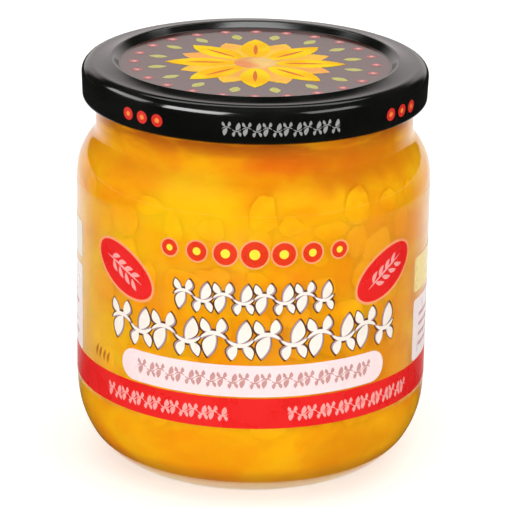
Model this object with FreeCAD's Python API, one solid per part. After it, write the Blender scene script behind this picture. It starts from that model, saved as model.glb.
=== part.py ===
"""A filled jam jar with a twist-off lid, built as four solids in millimetres.

The origin is the centre of the foot that the jar stands on, and +Z is up.
  glass_jar  thick clear glass, straight-walled, with a rounded heel and a short shoulder
  jam        the filling, up to its level just behind the lid's skirt
  lid        pressed metal, with a sunk panel, a raised land, a round shoulder and a curl
  label      clear film wrapped round the straight wall, with a narrow gap at the back
Every solid is a profile of lines, arcs and heel curves, turned about the Z axis.
"""

import FreeCAD, Part
import math
import os

# Glass jar, outside
JAR_HEIGHT = 99.65
BODY_R = 43.4
NECK_INSET = 4.6  # how much narrower the neck is than the body, in radius
NECK_HEIGHT = 15.5  # straight neck, from the rim down to the shoulder
SHOULDER_R = 15.0  # rounded edge where the body turns in
NECK_FILLET_R = 4.0  # hollow curve where the shoulder meets the neck
HEEL_HEIGHT = 19.6
HEEL_REACH = 14.3  # how far the heel curve runs in towards the foot
FOOT_WIDTH = 2.6  # flat ring that touches the table
PUNT_RISE = 1.5  # of the hollow underside, in the middle

# Glass jar, inside
BODY_WALL = 2.4
NECK_WALL = 2.0
BASE_THICKNESS = 3.6
FLOOR_RISE = 1.2  # the inner floor is a little domed
RIM_FLAT = 0.2  # sealing face on top of the rim

# Jam
JAM_CLEARANCE = 0.1
FILL_ABOVE_EDGE = 1.35  # how far the jam reaches up behind the lid's skirt

# Lid
SHEET = 0.45
LID_HEIGHT = 9.8
PANEL_DEPTH = 1.6
PANEL_FILLET_R = 0.7
PANEL_SLOPE = 45.0  # of the wall between the panel and the land, in degrees
LAND_REACH = 1.8  # how far the land runs in past the bore
LAND_RISE = 0.7  # from the seat on the rim up to the land's inner edge
LAND_EDGE_R = 0.9
RIM_GAP = 0.15  # between the lid and the sides of the rim that it wraps
SEAT_OVERLAP = 0.2  # flat of the seat past the rim's flat, inwards
LID_SHOULDER_R = 2.8
SKIRT_TAPER = 0.2
CURL_R = 1.0

# Label
LABEL_CLEARANCE = 0.05
LABEL_THICKNESS = 0.16
LABEL_TOP_INSET = 0.4
LABEL_BOTTOM_INSET = 0.6
LABEL_GAP = 4.0  # bare glass between the two ends, measured round the back

# What follows from the sizes above
NECK_R = BODY_R - NECK_INSET
FOOT_R = BODY_R - HEEL_REACH
CAVITY_R = BODY_R - BODY_WALL
BORE_R = NECK_R - NECK_WALL
RIM_FILLET_R = (NECK_WALL - RIM_FLAT) / 2
CREASE_Z = JAR_HEIGHT - NECK_HEIGHT
SEAT_Z = JAR_HEIGHT + SHEET
CROWN_Z = SEAT_Z + LAND_RISE
LID_EDGE_Z = CROWN_Z - LID_HEIGHT

QUARTER = 90.0
CIRCLE_HANDLE = 0.5523  # makes a Bezier quarter follow an ellipse


def point(r, z):
    """A point of a profile, in the XZ plane."""
    return FreeCAD.Vector(r, 0, z)


def arc(centre_r, centre_z, radius, start, end):
    """An arc of a profile: angles in degrees, 0 outwards and 90 up."""
    angles = [math.radians(a) for a in (start, (start + end) / 2, end)]
    places = [point(centre_r + radius * math.cos(a), centre_z + radius * math.sin(a)) for a in angles]
    return Part.Arc(*places).toShape()


def heel(wall_r, top_z, foot_r, foot_z):
    """The long soft curve from the straight wall down and in to the foot."""
    drop = (top_z - foot_z) * CIRCLE_HANDLE
    reach = (wall_r - foot_r) * CIRCLE_HANDLE
    curve = Part.BezierCurve()
    curve.setPoles([
        point(wall_r, top_z),
        point(wall_r, top_z - drop),
        point(foot_r + reach, foot_z),
        point(foot_r, foot_z),
    ])
    return curve.toShape()


def swell(centre_z, edge_r, edge_z):
    """A shallow dome or hollow across the axis, from its middle out to its edge, or back."""
    sag = centre_z - edge_z
    radius = (edge_r**2 + sag**2) / (2 * abs(sag))
    middle_r = edge_r / 2
    depth = radius - math.sqrt(radius**2 - middle_r**2)
    middle_z = centre_z - math.copysign(depth, sag)
    return Part.Arc(point(0, centre_z), point(middle_r, middle_z), point(edge_r, edge_z)).toShape()


def turned(steps):
    """Joins points and edges, in order, by straight lines, and turns the closed outline."""
    edges = []
    first = last = None
    for step in steps:
        if isinstance(step, FreeCAD.Vector):
            start = end = step
        else:
            start, end = step.firstVertex(True).Point, step.lastVertex(True).Point
        if last is None:
            first = start
        elif start.distanceToPoint(last) > 1e-6:
            edges.append(Part.makeLine(last, start))
        if start is not end:
            edges.append(step)
        last = end
    if last.distanceToPoint(first) > 1e-6:
        edges.append(Part.makeLine(last, first))
    face = Part.Face(Part.Wire(edges))
    return face.revolve(point(0, 0), FreeCAD.Vector(0, 0, 1), 360)


def shoulder(wall_r, neck_r, round_r, fillet_r):
    """The turn angle and rise of a round edge that runs into a hollow one."""
    turn = math.acos(1 - (wall_r - neck_r) / (round_r + fillet_r))
    return math.degrees(turn), (round_r + fillet_r) * math.sin(turn)


def neck_curves(wall_r, neck_r, round_r, fillet_r):
    """The two arcs from the straight wall up to the neck, and the height where they begin."""
    turn, rise = shoulder(wall_r, neck_r, round_r, fillet_r)
    wall_top = CREASE_Z - rise
    rounded = arc(wall_r - round_r, wall_top, round_r, 0, turn)
    hollow = arc(neck_r + fillet_r, CREASE_Z, fillet_r, 180 + turn, 180)
    return [rounded, hollow], wall_top


def cavity(inset, top_z):
    """Steps up the inside of the glass, from the middle of the floor to the given height."""
    floor_edge_r = FOOT_R - BODY_WALL
    floor_edge_z = BASE_THICKNESS + inset
    inner, _ = neck_curves(
        CAVITY_R - inset, BORE_R - inset, SHOULDER_R - BODY_WALL + inset, NECK_FILLET_R + NECK_WALL
    )
    return [
        swell(floor_edge_z + FLOOR_RISE, floor_edge_r, floor_edge_z),
        heel(CAVITY_R - inset, HEEL_HEIGHT, floor_edge_r, floor_edge_z).reversed(),
        *inner,
        point(BORE_R - inset, top_z),
    ]


def glass_jar():
    outer, _ = neck_curves(BODY_R, NECK_R, SHOULDER_R, NECK_FILLET_R)
    round_z = JAR_HEIGHT - RIM_FILLET_R
    outside = [
        swell(PUNT_RISE, FOOT_R - FOOT_WIDTH, 0),
        heel(BODY_R, HEEL_HEIGHT, FOOT_R, 0).reversed(),
        *outer,
        arc(NECK_R - RIM_FILLET_R, round_z, RIM_FILLET_R, 0, QUARTER),
        arc(BORE_R + RIM_FILLET_R, round_z, RIM_FILLET_R, QUARTER, 2 * QUARTER),
    ]
    bowl = turned([*cavity(0, JAR_HEIGHT + 1), point(0, JAR_HEIGHT + 1)])
    return turned([*outside, point(0, round_z)]).cut(bowl)


def jam():
    level = LID_EDGE_Z + FILL_ABOVE_EDGE
    return turned([*cavity(JAM_CLEARANCE, level), point(0, level)])


def tangent(centre, radius, place):
    """The angle at which a line from an outer place touches the top of a circle."""
    across, up = place[0] - centre[0], place[1] - centre[1]
    away = math.hypot(across, up)
    return math.degrees(math.atan2(up, across) + math.acos(radius / away))


def lid():
    """Outside from the middle of the panel to the curl, then back along the inside."""
    panel_z = CROWN_Z - PANEL_DEPTH
    slope = math.radians(PANEL_SLOPE)
    both_r = PANEL_FILLET_R + LAND_EDGE_R
    straight_drop = PANEL_DEPTH - both_r * (1 - math.cos(slope))
    wall_reach = both_r * math.sin(slope) + straight_drop / math.tan(slope)
    land_r = BORE_R - LAND_REACH
    panel_edge = (land_r - wall_reach, panel_z + PANEL_FILLET_R)
    land_edge = (land_r, CROWN_Z - LAND_EDGE_R)
    wall_up = QUARTER + PANEL_SLOPE

    seat_in = (BORE_R + RIM_FILLET_R - SEAT_OVERLAP, SEAT_Z)
    land_down = tangent(land_edge, LAND_EDGE_R, seat_in)
    crease = SHEET * math.tan(math.radians(QUARTER - land_down) / 2)
    shoulder = (NECK_R + RIM_GAP + SHEET, SEAT_Z - LID_SHOULDER_R)
    skirt_r = shoulder[0] + LID_SHOULDER_R
    curl = (skirt_r - SKIRT_TAPER - CURL_R, LID_EDGE_Z + CURL_R)
    curl_join = math.degrees(math.acos((CURL_R - SHEET) / CURL_R))
    outside = [
        point(0, panel_z),
        arc(*panel_edge, PANEL_FILLET_R, -QUARTER, wall_up - 180),
        arc(*land_edge, LAND_EDGE_R, wall_up, land_down),
        point(*seat_in),
        arc(*shoulder, LID_SHOULDER_R, QUARTER, 0),
        arc(*curl, CURL_R, 0, curl_join - 360),
    ]
    inside = [
        arc(*shoulder, LID_SHOULDER_R - SHEET, 0, QUARTER),
        point(seat_in[0] - crease, SEAT_Z - SHEET),
        arc(*land_edge, LAND_EDGE_R - SHEET, land_down, wall_up),
        arc(*panel_edge, PANEL_FILLET_R + SHEET, wall_up - 180, -QUARTER),
        point(0, panel_z - SHEET),
    ]
    return turned([*outside, *inside])


def label():
    _, wall_top = neck_curves(BODY_R, NECK_R, SHOULDER_R, NECK_FILLET_R)
    low_z = HEEL_HEIGHT + LABEL_BOTTOM_INSET
    height = wall_top - LABEL_TOP_INSET - low_z
    inner_r = BODY_R + LABEL_CLEARANCE
    outer_r = inner_r + LABEL_THICKNESS
    ring = Part.makeCylinder(outer_r, height, point(0, low_z)).cut(
        Part.makeCylinder(inner_r, height, point(0, low_z))
    )
    gap = Part.makeBox(LABEL_GAP, BODY_R, height)
    gap.translate(FreeCAD.Vector(-LABEL_GAP / 2, BODY_R / 2, low_z))
    return ring.cut(gap)


def write(name, shape):
    """Writes one node, which is one solid."""
    solid = shape.Solids[0]
    print(f"{name}: {len(shape.Solids)} solid, {solid.Volume / 1000:.1f} cm3, valid {solid.isValid()}")
    solid.exportStep(f"parts/{name}.step")


os.makedirs("parts", exist_ok=True)
for make in (glass_jar, jam, lid, label):
    write(make.__name__, make())
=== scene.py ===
"""The looks of a jar of fruit jam: glass, jam with fruit in it, a black lid and a film label.

The pieces are drawn in millimetres and turned into metres as each mesh is finished.
Angles round the jar run from the front, -Y, and are positive to the right, towards +X.
"""

import math

import bmesh
import bpy
from mathutils import Matrix, Quaternion, Vector


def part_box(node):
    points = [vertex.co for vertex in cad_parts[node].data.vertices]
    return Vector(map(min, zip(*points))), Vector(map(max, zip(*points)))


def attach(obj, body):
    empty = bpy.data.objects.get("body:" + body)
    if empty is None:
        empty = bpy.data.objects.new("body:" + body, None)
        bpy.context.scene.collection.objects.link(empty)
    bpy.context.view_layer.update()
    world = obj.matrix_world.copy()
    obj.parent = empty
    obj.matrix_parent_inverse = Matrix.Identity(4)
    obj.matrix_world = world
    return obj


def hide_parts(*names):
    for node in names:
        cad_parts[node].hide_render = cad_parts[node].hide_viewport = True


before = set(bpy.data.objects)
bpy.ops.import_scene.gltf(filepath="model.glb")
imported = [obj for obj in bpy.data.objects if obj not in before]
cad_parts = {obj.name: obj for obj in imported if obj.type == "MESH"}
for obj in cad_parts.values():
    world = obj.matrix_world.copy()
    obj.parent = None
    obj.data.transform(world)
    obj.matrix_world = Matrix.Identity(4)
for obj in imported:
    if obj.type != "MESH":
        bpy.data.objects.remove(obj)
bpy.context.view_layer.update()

MM = 0.001
BODY = "root"


def box_in_mm(node):
    """The lowest and highest corner of a CAD node, in millimetres."""
    low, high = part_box(node)
    return low / MM, high / MM


_, GLASS_HIGH = box_in_mm("glass_jar")
_, JAM_HIGH = box_in_mm("jam")
LID_LOW, LID_HIGH = box_in_mm("lid")
LABEL_LOW, LABEL_HIGH = box_in_mm("label")

# Glass
BODY_R = GLASS_HIGH.x
JAR_HEIGHT = GLASS_HIGH.z
NECK_R = BODY_R - 4.6
CREASE_Z = JAR_HEIGHT - 15.5
SHOULDER_R = 15.0
NECK_FILLET_R = 4.0
HEEL_HEIGHT = 19.6
FOOT_R = BODY_R - 14.3
FOOT_WIDTH = 2.6
PUNT_RISE = 1.5
BODY_WALL = 2.4
NECK_WALL = 2.0
BASE_THICKNESS = 3.6
FLOOR_RISE = 1.2
RIM_FILLET_R = 0.9
CAVITY_R = BODY_R - BODY_WALL
BORE_R = NECK_R - NECK_WALL
SEAM_RISE = 0.06
SEAM_SPREAD = 1.1
SEAM_ANGLES = (90, 270)
KNURL_DEPTH = 0.10
KNURLS = 72
KNURL_TOP = 2.4
KNURL_REACH = 8  # how far out from the foot the knurls run
INSIDE_FROM = 50  # later points of the glass outline are above the shoulder or on the inside

# Jam
JAM_IN_WALL = 0.15
JAM_LEVEL = JAM_HIGH.z
FRUIT_R = CAVITY_R + 0.03
FRUIT_TOP = CREASE_Z - 10

# Lid
SHEET = 0.45
CROWN_Z = LID_HIGH.z
LID_EDGE_Z = LID_LOW.z
SEAT_Z = JAR_HEIGHT + SHEET
PANEL_DEPTH = 1.6
PANEL_Z = CROWN_Z - PANEL_DEPTH
PANEL_FILLET_R = 0.7
PANEL_SLOPE = 45.0
LAND_R = BORE_R - 1.8
LAND_EDGE_R = 0.9
LID_SHOULDER_R = 2.8
LID_SHOULDER = (NECK_R + 0.15 + SHEET, SEAT_Z - LID_SHOULDER_R)
SKIRT_TAPER = 0.2
CURL_R = 1.0

# Label: film first, then the inks, each layer over the one before
FILM_IN_R = BODY_R + 0.06
FILM_THICKNESS = 0.04
INK_LAYER = 0.022
INK_THICKNESS = 0.010
HAIR = 0.006
ROW_LIFT = 0.00011
FIRST_INK_R = FILM_IN_R + FILM_THICKNESS + 0.008
LABEL_Z = LABEL_LOW.z
LABEL_GAP = 4.0
BEND_STEP = 0.8
QUARTER = 90.0
FULL_TURN = 360.0


# ---------------------------------------------------------------- outlines that are turned


def arc(r, z, radius, start, end, steps=8):
    """Points of an arc round (r, z): degrees, 0 outwards and 90 up."""
    turns = [math.radians(start + (end - start) * i / steps) for i in range(steps + 1)]
    return [(r + radius * math.cos(t), z + radius * math.sin(t)) for t in turns]


def heel(wall_r, top_z, foot_r, foot_z, steps=22):
    """The long soft curve from the straight wall down and in to the foot."""
    handle = 0.5523
    poles = [
        (wall_r, top_z),
        (wall_r, top_z - (top_z - foot_z) * handle),
        (foot_r + (wall_r - foot_r) * handle, foot_z),
        (foot_r, foot_z),
    ]
    points = []
    for i in range(steps + 1):
        t = i / steps
        shares = ((1 - t) ** 3, 3 * t * (1 - t) ** 2, 3 * t**2 * (1 - t), t**3)
        points.append(tuple(sum(s * p[axis] for s, p in zip(shares, poles)) for axis in (0, 1)))
    return points


def swell(centre_z, edge_r, edge_z, steps=8):
    """A shallow dome or hollow, from the axis out to its edge."""
    rise = centre_z - edge_z
    return [(edge_r * i / steps, edge_z + rise * (1 - (i / steps) ** 2)) for i in range(steps + 1)]


def neck_curves(wall_r, neck_r, round_r, fillet_r):
    """The rounded edge and the hollow one that lead from the straight wall up to the neck."""
    turn = math.acos(1 - (wall_r - neck_r) / (round_r + fillet_r))
    wall_top = CREASE_Z - (round_r + fillet_r) * math.sin(turn)
    turn = math.degrees(turn)
    rounded = arc(wall_r - round_r, wall_top, round_r, 0, turn, 14)
    hollow = arc(neck_r + fillet_r, CREASE_Z, fillet_r, 180 + turn, 180, 8)
    return rounded + hollow[1:]


def inner_wall(spread):
    """Up the inside of the glass from the middle of its floor; spread moves it into the glass."""
    floor_edge_r = FOOT_R - BODY_WALL
    floor_z = BASE_THICKNESS - spread
    return [
        *swell(floor_z + FLOOR_RISE, floor_edge_r, floor_z)[:-1],
        *reversed(heel(CAVITY_R + spread, HEEL_HEIGHT, floor_edge_r, floor_z)),
        *neck_curves(
            CAVITY_R + spread, BORE_R + spread, SHOULDER_R - BODY_WALL, NECK_FILLET_R + NECK_WALL
        ),
    ]


def glass_outline():
    round_z = JAR_HEIGHT - RIM_FILLET_R
    return [
        *swell(PUNT_RISE, FOOT_R - FOOT_WIDTH, 0),
        *reversed(heel(BODY_R, HEEL_HEIGHT, FOOT_R, 0)),
        *neck_curves(BODY_R, NECK_R, SHOULDER_R, NECK_FILLET_R),
        *arc(NECK_R - RIM_FILLET_R, round_z, RIM_FILLET_R, 0, QUARTER, 6),
        *arc(BORE_R + RIM_FILLET_R, round_z, RIM_FILLET_R, QUARTER, 2 * QUARTER, 6),
        *reversed(inner_wall(0.0)),
    ]


def tangent(centre, radius, place):
    """The angle at which a line from an outer place touches the top of a circle."""
    across, up = place[0] - centre[0], place[1] - centre[1]
    return math.degrees(math.atan2(up, across) + math.acos(radius / math.hypot(across, up)))


def lid_outline():
    """Outside from the middle of the panel to the rolled curl, then back along the inside."""
    slope = math.radians(PANEL_SLOPE)
    both_r = PANEL_FILLET_R + LAND_EDGE_R
    straight_drop = PANEL_DEPTH - both_r * (1 - math.cos(slope))
    wall_reach = both_r * math.sin(slope) + straight_drop / math.tan(slope)
    panel_edge = (LAND_R - wall_reach, PANEL_Z + PANEL_FILLET_R)
    land_edge = (LAND_R, CROWN_Z - LAND_EDGE_R)
    wall_up = QUARTER + PANEL_SLOPE
    seat_in = (BORE_R + RIM_FILLET_R - 0.2, SEAT_Z)
    land_down = tangent(land_edge, LAND_EDGE_R, seat_in)
    crease = SHEET * math.tan(math.radians(QUARTER - land_down) / 2)
    curl = (LID_SHOULDER[0] + LID_SHOULDER_R - SKIRT_TAPER - CURL_R, LID_EDGE_Z + CURL_R)
    roll = -290
    outside = [
        (0, PANEL_Z),
        (panel_edge[0] / 2, PANEL_Z),
        *arc(*panel_edge, PANEL_FILLET_R, -QUARTER, wall_up - 180),
        *arc(*land_edge, LAND_EDGE_R, wall_up, land_down),
        seat_in,
        *arc(*LID_SHOULDER, LID_SHOULDER_R, QUARTER, 0, 16),
        *arc(*curl, CURL_R, 0, roll, 22),
    ]
    inside = [
        *arc(*curl, CURL_R - SHEET, roll, 0, 16),
        *arc(*LID_SHOULDER, LID_SHOULDER_R - SHEET, 0, QUARTER),
        (seat_in[0] - crease, SEAT_Z - SHEET),
        *arc(*land_edge, LAND_EDGE_R - SHEET, land_down, wall_up),
        *arc(*panel_edge, PANEL_FILLET_R + SHEET, wall_up - 180, -QUARTER),
        (0, PANEL_Z - SHEET),
    ]
    return outside + inside


# ---------------------------------------------------------------- meshes


def show(name, mesh, material=None, smooth_angle=35):
    """Links a mesh that is already in metres as a smooth-shaded object."""
    mesh.name = name
    mesh.polygons.foreach_set("use_smooth", [True] * len(mesh.polygons))
    mesh.set_sharp_from_angle(angle=math.radians(smooth_angle))
    if material:
        mesh.materials.clear()
        mesh.materials.append(material)
    piece = bpy.data.objects.new(name, mesh)
    bpy.context.scene.collection.objects.link(piece)
    return piece


def to_metres(mesh):
    mesh.transform(Matrix.Scale(MM, 4))
    return mesh


def lathe(name, outline, material, segments=288, relief=None):
    """Turns an outline that starts and ends on the axis.

    relief(r, z, degrees, place) is added to r; place counts the points along the outline.
    """
    bm = bmesh.new()
    rings = []
    for place, (r, z) in enumerate(outline):
        if r < 1e-6:
            rings.append([bm.verts.new((0, 0, z))])
            continue
        ring = []
        for i in range(segments):
            degrees = FULL_TURN * i / segments
            out = r + (relief(r, z, degrees, place) if relief else 0)
            turn = math.radians(degrees)
            ring.append(bm.verts.new((out * math.sin(turn), -out * math.cos(turn), z)))
        rings.append(ring)
    for low, high in zip(rings, rings[1:]):
        for i in range(segments):
            following = (i + 1) % segments
            corners = [low[i % len(low)], low[following % len(low)]]
            corners += [high[following % len(high)], high[i % len(high)]]
            bm.faces.new(list(dict.fromkeys(corners)))
    bmesh.ops.remove_doubles(bm, verts=bm.verts, dist=1e-5)
    bmesh.ops.recalc_face_normals(bm, faces=bm.faces)
    mesh = bpy.data.meshes.new(name)
    bm.to_mesh(mesh)
    bm.free()
    return show(name, to_metres(mesh), material)


def flat_sheets(outlines, bend_step=BEND_STEP):
    """A thin closed sheet for each outline, in the XY plane, cut across so that it can bend.

    Each outline lies a hair above the one before, so that prints that cross don't share a face.
    """
    bm = bmesh.new()
    for i, outline in enumerate(outlines):
        lift = HAIR * i / len(outlines)
        bm.faces.new([bm.verts.new((u, v, lift)) for u, v in outline])
    bmesh.ops.recalc_face_normals(bm, faces=bm.faces)
    bmesh.ops.triangulate(bm, faces=bm.faces[:])
    across_all = [vert.co.x for vert in bm.verts]
    if bend_step:
        for i in range(math.ceil(min(across_all) / bend_step), math.floor(max(across_all) / bend_step) + 1):
            parts = bm.verts[:] + bm.edges[:] + bm.faces[:]
            bmesh.ops.bisect_plane(
                bm, geom=parts, dist=1e-4, plane_co=(i * bend_step, 0, 0), plane_no=(1, 0, 0)
            )
    for face in bm.faces:
        if face.normal.z < 0:
            face.normal_flip()
    top = bmesh.ops.extrude_face_region(bm, geom=bm.faces[:] + bm.edges[:], use_keep_orig=True)
    raised = [part for part in top["geom"] if isinstance(part, bmesh.types.BMVert)]
    bmesh.ops.translate(bm, verts=raised, vec=(0, 0, INK_THICKNESS))
    bmesh.ops.recalc_face_normals(bm, faces=bm.faces)
    mesh = bpy.data.meshes.new("flat print")
    bm.to_mesh(mesh)
    bm.free()
    return mesh


# ---------------------------------------------------------------- outlines of the prints


def ellipse(centre, half_u, half_v, turn=0, steps=40):
    turned = math.radians(turn)
    points = []
    for i in range(steps):
        t = 2 * math.pi * i / steps
        u, v = half_u * math.cos(t), half_v * math.sin(t)
        points.append(
            (
                centre[0] + u * math.cos(turned) - v * math.sin(turned),
                centre[1] + u * math.sin(turned) + v * math.cos(turned),
            )
        )
    return points


def leaf(base, tip, width, bend=0.0, steps=9, fullness=0.8):
    """A pointed leaf or a tapered stroke; bend pushes its middle to the left, as a share of its length."""
    du, dv = tip[0] - base[0], tip[1] - base[1]
    length = math.hypot(du, dv)
    left, right = [], []
    for i in range(steps + 1):
        t = i / steps
        half = math.sin(math.pi * t) ** fullness * width / 2
        middle = bend * length * 4 * t * (1 - t)
        for row, shift in ((left, middle + half), (right, middle - half)):
            row.append((base[0] + du * t - dv / length * shift, base[1] + dv * t + du / length * shift))
    return right + left[-2:0:-1]


def bar(u0, u1, v0, v1, radius=0.0, steps=8):
    """A rectangle, with round corners where it has a radius."""
    if not radius:
        return [(u0, v0), (u1, v0), (u1, v1), (u0, v1)]
    corners = ((u1 - radius, v1 - radius, 0), (u0 + radius, v1 - radius, 90))
    corners += ((u0 + radius, v0 + radius, 180), (u1 - radius, v0 + radius, 270))
    return [spot for u, v, start in corners for spot in arc(u, v, radius, start, start + 90, steps)]


# ---------------------------------------------------------------- node helpers


def tone(red, green, blue):
    """A colour in the 0 to 255 scale of a paint chart, as the linear colour that a socket takes."""
    shares = [c / 255 for c in (red, green, blue)]
    linear = [c / 12.92 if c <= 0.04045 else ((c + 0.055) / 1.055) ** 2.4 for c in shares]
    return (*linear, 1.0)


def node(tree, kind, inputs=None, **settings):
    """Adds a node; an input is set to a value, or linked where it is given another node's socket."""
    made = tree.nodes.new(kind)
    for setting, value in settings.items():
        setattr(made, setting, value)
    for socket, value in (inputs or {}).items():
        if isinstance(value, bpy.types.NodeSocket):
            tree.links.new(value, made.inputs[socket])
        else:
            made.inputs[socket].default_value = value
    return made


def calc(tree, operation, first, second=0.0, clamp=False):
    return node(
        tree, "ShaderNodeMath", {0: first, 1: second}, operation=operation, use_clamp=clamp
    ).outputs[0]


def blend(tree, factor, first, second, way="MIX"):
    mix = node(tree, "ShaderNodeMix", {0: factor, 6: first, 7: second}, data_type="RGBA", blend_type=way)
    return mix.outputs[2]


def ease(tree, value, low, high, out_low=0.0, out_high=1.0):
    """A smooth step from one value to another."""
    step = node(
        tree,
        "ShaderNodeMapRange",
        {"Value": value, "From Min": low, "From Max": high, "To Min": out_low, "To Max": out_high},
        interpolation_type="SMOOTHSTEP",
    )
    return step.outputs["Result"]


def shader_group(name, inputs, outputs):
    """An empty shader group with its sockets, and the two nodes that hold them."""
    group = bpy.data.node_groups.new(name, "ShaderNodeTree")
    for label, kind, value in inputs:
        group.interface.new_socket(label, in_out="INPUT", socket_type=kind).default_value = value
    for label, kind in outputs:
        group.interface.new_socket(label, in_out="OUTPUT", socket_type=kind)
    return group, node(group, "NodeGroupInput"), node(group, "NodeGroupOutput")


def noise(tree, place, scale, detail=2.0, roughness=0.5, distortion=0.0):
    made = node(
        tree,
        "ShaderNodeTexNoise",
        {"Vector": place, "Scale": scale, "Detail": detail, "Roughness": roughness, "Distortion": distortion},
    )
    return made.outputs["Fac"]


def ripple_group():
    """Soft waves in a surface, as glass, lacquer and film have them."""
    group, start, end = shader_group(
        "surface ripple",
        [("Waves per metre", "NodeSocketFloat", 60.0), ("Height", "NodeSocketFloat", 0.0001)],
        [("Normal", "NodeSocketVector")],
    )
    place = node(group, "ShaderNodeTexCoord").outputs["Object"]
    waves = noise(group, place, start.outputs["Waves per metre"])
    bump = node(
        group,
        "ShaderNodeBump",
        {"Strength": 1.0, "Distance": start.outputs["Height"], "Height": waves},
    )
    group.links.new(bump.outputs[0], end.inputs["Normal"])
    return group


def ink_group():
    """Printed ink: a little uneven in tone and gloss, with a fine grain."""
    group, start, end = shader_group(
        "printed ink",
        [("Ink", "NodeSocketColor", (1, 1, 1, 1)), ("Unevenness", "NodeSocketFloat", 0.08)],
        [("Color", "NodeSocketColor"), ("Roughness", "NodeSocketFloat")],
    )
    place = node(group, "ShaderNodeTexCoord").outputs["Object"]
    clouds = noise(group, place, 120.0, 3.0)
    grain = noise(group, place, 1700.0, 1.0)
    most_clouds = calc(group, "MULTIPLY", clouds, 0.6)
    some_grain = calc(group, "MULTIPLY", grain, 0.4)
    sum_of_both = calc(group, "ADD", most_clouds, some_grain)
    shift = calc(group, "MULTIPLY", calc(group, "SUBTRACT", sum_of_both, 0.5), start.outputs["Unevenness"])
    level = calc(group, "ADD", 1.0, calc(group, "MULTIPLY", shift, 4.0))
    scaled = node(
        group, "ShaderNodeVectorMath", {0: start.outputs["Ink"], "Scale": level}, operation="SCALE"
    )
    group.links.new(scaled.outputs[0], end.inputs["Color"])
    group.links.new(ease(group, clouds, 0.3, 0.7, 0.24, 0.36), end.inputs["Roughness"])
    return group


def new_material(name):
    material = bpy.data.materials.new(name)
    material.use_nodes = True
    tree = material.node_tree
    tree.nodes.clear()
    return material, tree


def output(tree, surface):
    node(tree, "ShaderNodeOutputMaterial", {"Surface": surface})


def object_place(tree):
    return node(tree, "ShaderNodeTexCoord").outputs["Object"]


def grouped(tree, group, **inputs):
    made = node(tree, "ShaderNodeGroup", node_tree=group)
    for label, value in inputs.items():
        made.inputs[label.replace("_", " ")].default_value = value
    return made


RIPPLE = ripple_group()
PRINTED_INK = ink_group()


# ---------------------------------------------------------------- materials


def clear_glass():
    """Thick clear glass that lets lamps and soft light through to the jam."""
    material, tree = new_material("clear glass")
    ripple = grouped(tree, RIPPLE, Waves_per_metre=38.0, Height=0.00022)
    smears = noise(tree, object_place(tree), 55.0, 3.0)
    glass = node(
        tree,
        "ShaderNodeBsdfPrincipled",
        {
            "Base Color": (1.0, 1.0, 1.0, 1.0),
            "Roughness": ease(tree, smears, 0.45, 0.75, 0.0, 0.03),
            "IOR": 1.5,
            "Transmission Weight": 1.0,
            "Normal": ripple.outputs["Normal"],
        },
    )
    path = node(tree, "ShaderNodeLightPath")
    lets_light_in = calc(tree, "MAXIMUM", path.outputs["Is Shadow Ray"], path.outputs["Is Diffuse Ray"])
    clear = node(tree, "ShaderNodeBsdfTransparent")
    both = node(tree, "ShaderNodeMixShader", {0: lets_light_in, 1: glass.outputs[0], 2: clear.outputs[0]})
    output(tree, both.outputs[0])
    return material


# Patches of other tones in the jam: angle, height above the foot, half width, half height, tone, strength
JAM_PATCHES = (
    (12, 85.0, 13, 4.0, (232, 100, 14), 0.75),
    (-18, 73.0, 15, 9.0, (250, 196, 14), 0.80),
    (44, 83.0, 22, 7.0, (220, 116, 14), 0.75),
    (-52, 80.0, 10, 5.0, (240, 140, 12), 0.45),
    (-42, 64.0, 13, 9.0, (252, 196, 12), 0.50),
    (20, 66.0, 14, 6.0, (250, 168, 12), 0.45),
    (44, 62.0, 18, 13.0, (238, 142, 12), 0.70),
    (40, 32.0, 22, 14.0, (232, 140, 12), 0.60),
    (-8, 14.0, 12, 6.0, (240, 168, 12), 0.55),
    (36, 12.0, 15, 8.0, (218, 136, 12), 0.60),
    (140, 60.0, 20, 12.0, (248, 190, 16), 0.6),
    (-130, 40.0, 22, 10.0, (226, 120, 14), 0.5),
)


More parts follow.
